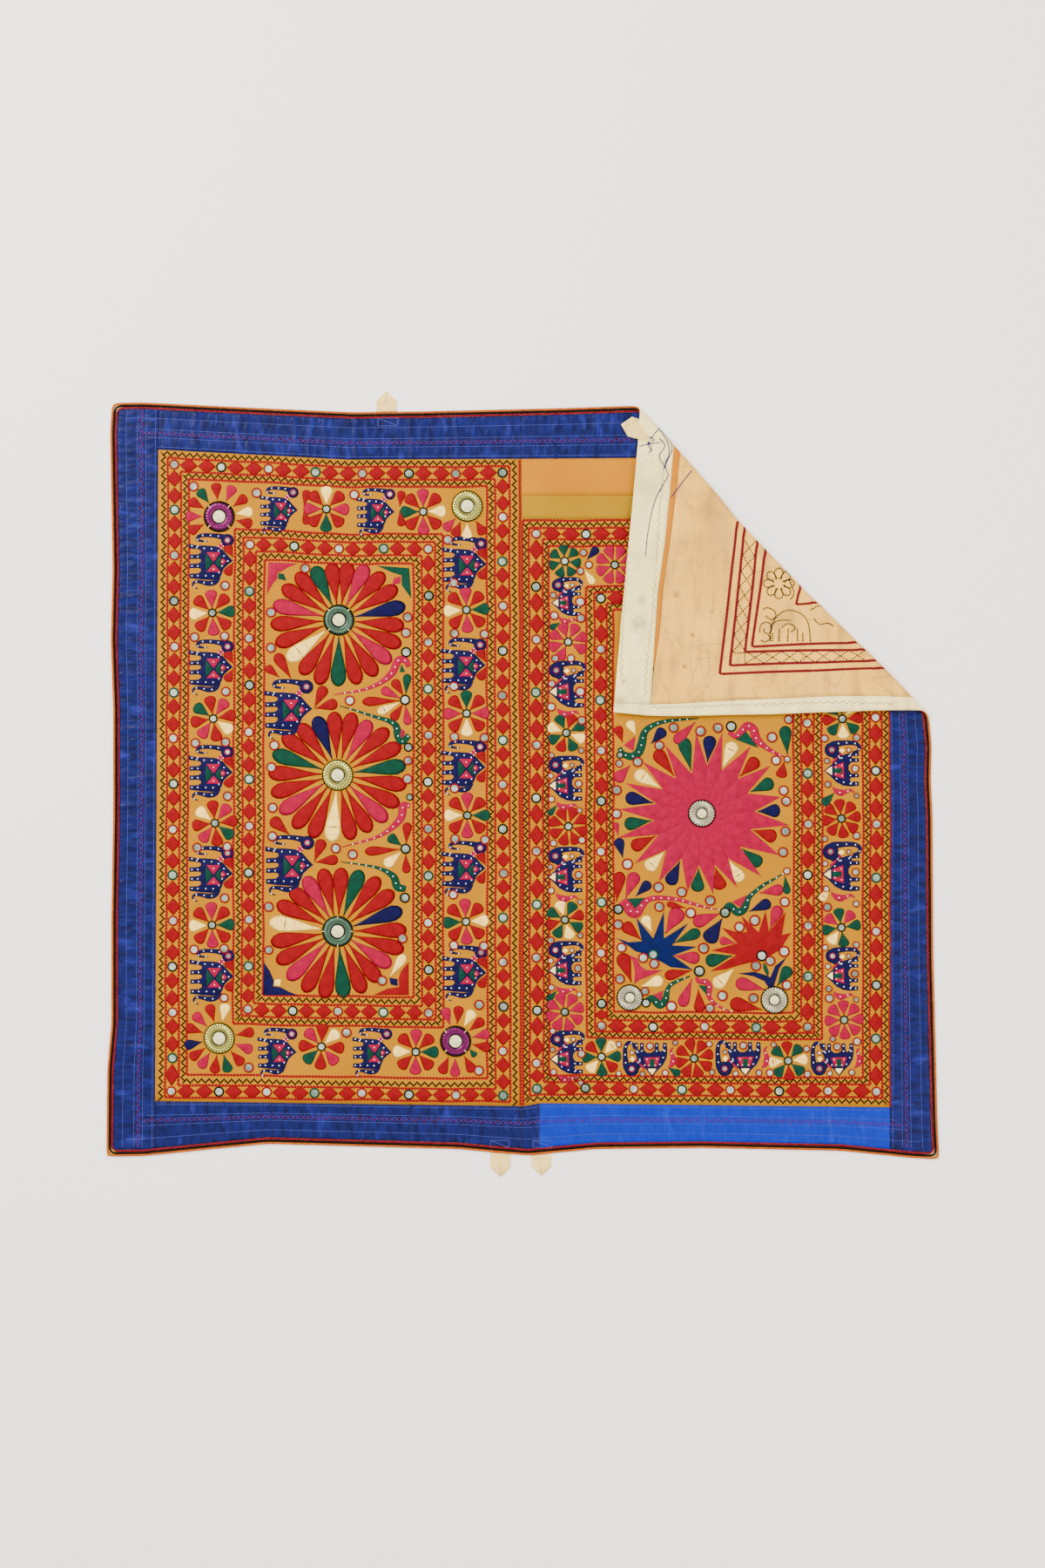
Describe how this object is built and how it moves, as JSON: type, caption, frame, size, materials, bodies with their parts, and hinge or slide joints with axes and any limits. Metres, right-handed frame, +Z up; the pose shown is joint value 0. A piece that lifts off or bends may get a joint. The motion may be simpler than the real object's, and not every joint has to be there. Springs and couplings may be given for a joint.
{
  "type": "embroidered wall hanging",
  "caption": "Embroidered mirror-work hanging with satin borders, piping and hanging tabs, lying flat with its top right corner folded over to show the lining.",
  "frame": {"origin": "on the surface below the middle of the hanging, at the middle of its box", "axes": "+X to the right along the top edge, +Y towards the top edge, +Z up out of the embroidered face"},
  "size_m": [1.435, 1.3525, 0.0212],
  "materials": {
    "yellow_cotton": "matte",
    "mustard_cotton": "matte",
    "orange_cotton": "matte",
    "navy_satin": "satin",
    "blue_satin": "satin",
    "orange_piping": "matte",
    "black_piping": "matte",
    "red_piping": "matte",
    "beige_cotton": "matte",
    "cream_cotton": "matte",
    "silk_thread": "satin",
    "mirror_glass": "polished",
    "stamped_metal": "satin"
  },
  "bodies": {
    "root": {"panel_left": "yellow_cotton", "panel_right": "yellow_cotton", "patch_lower": "mustard_cotton", "patch_upper": "orange_cotton", "turning": "orange_cotton", "border_left": "navy_satin", "border_top_left": "navy_satin", "border_top_right": "navy_satin", "border_right": "navy_satin", "border_bottom_left": "navy_satin", "border_bottom_middle": "navy_satin", "border_bottom_right": "blue_satin", "piping_orange_left": "orange_piping", "piping_orange_right": "orange_piping", "piping_orange_top": "orange_piping", "piping_orange_bottom": "orange_piping", "piping_black_left": "black_piping", "piping_black_right": "black_piping", "piping_black_top": "black_piping", "piping_black_bottom": "black_piping", "piping_red_left": "red_piping", "piping_red_right": "red_piping", "piping_red_top": "red_piping", "piping_red_bottom": "red_piping", "lining": "beige_cotton", "facing_top": "cream_cotton", "facing_right": "cream_cotton", "tab_top": "cream_cotton", "tab_bottom_left": "cream_cotton", "tab_bottom_right": "cream_cotton", "tab_corner": "cream_cotton", "rosette_purple_top": "stamped_metal", "rosette_gold_top": "stamped_metal", "rosette_green_high": "stamped_metal", "rosette_gold_middle": "stamped_metal", "rosette_green_low": "stamped_metal", "rosette_gold_bottom": "stamped_metal", "rosette_purple_bottom": "stamped_metal", "rosette_silver_sun": "stamped_metal", "rosette_silver_left": "stamped_metal", "rosette_silver_right": "stamped_metal"}
  },
  "joints": []
}
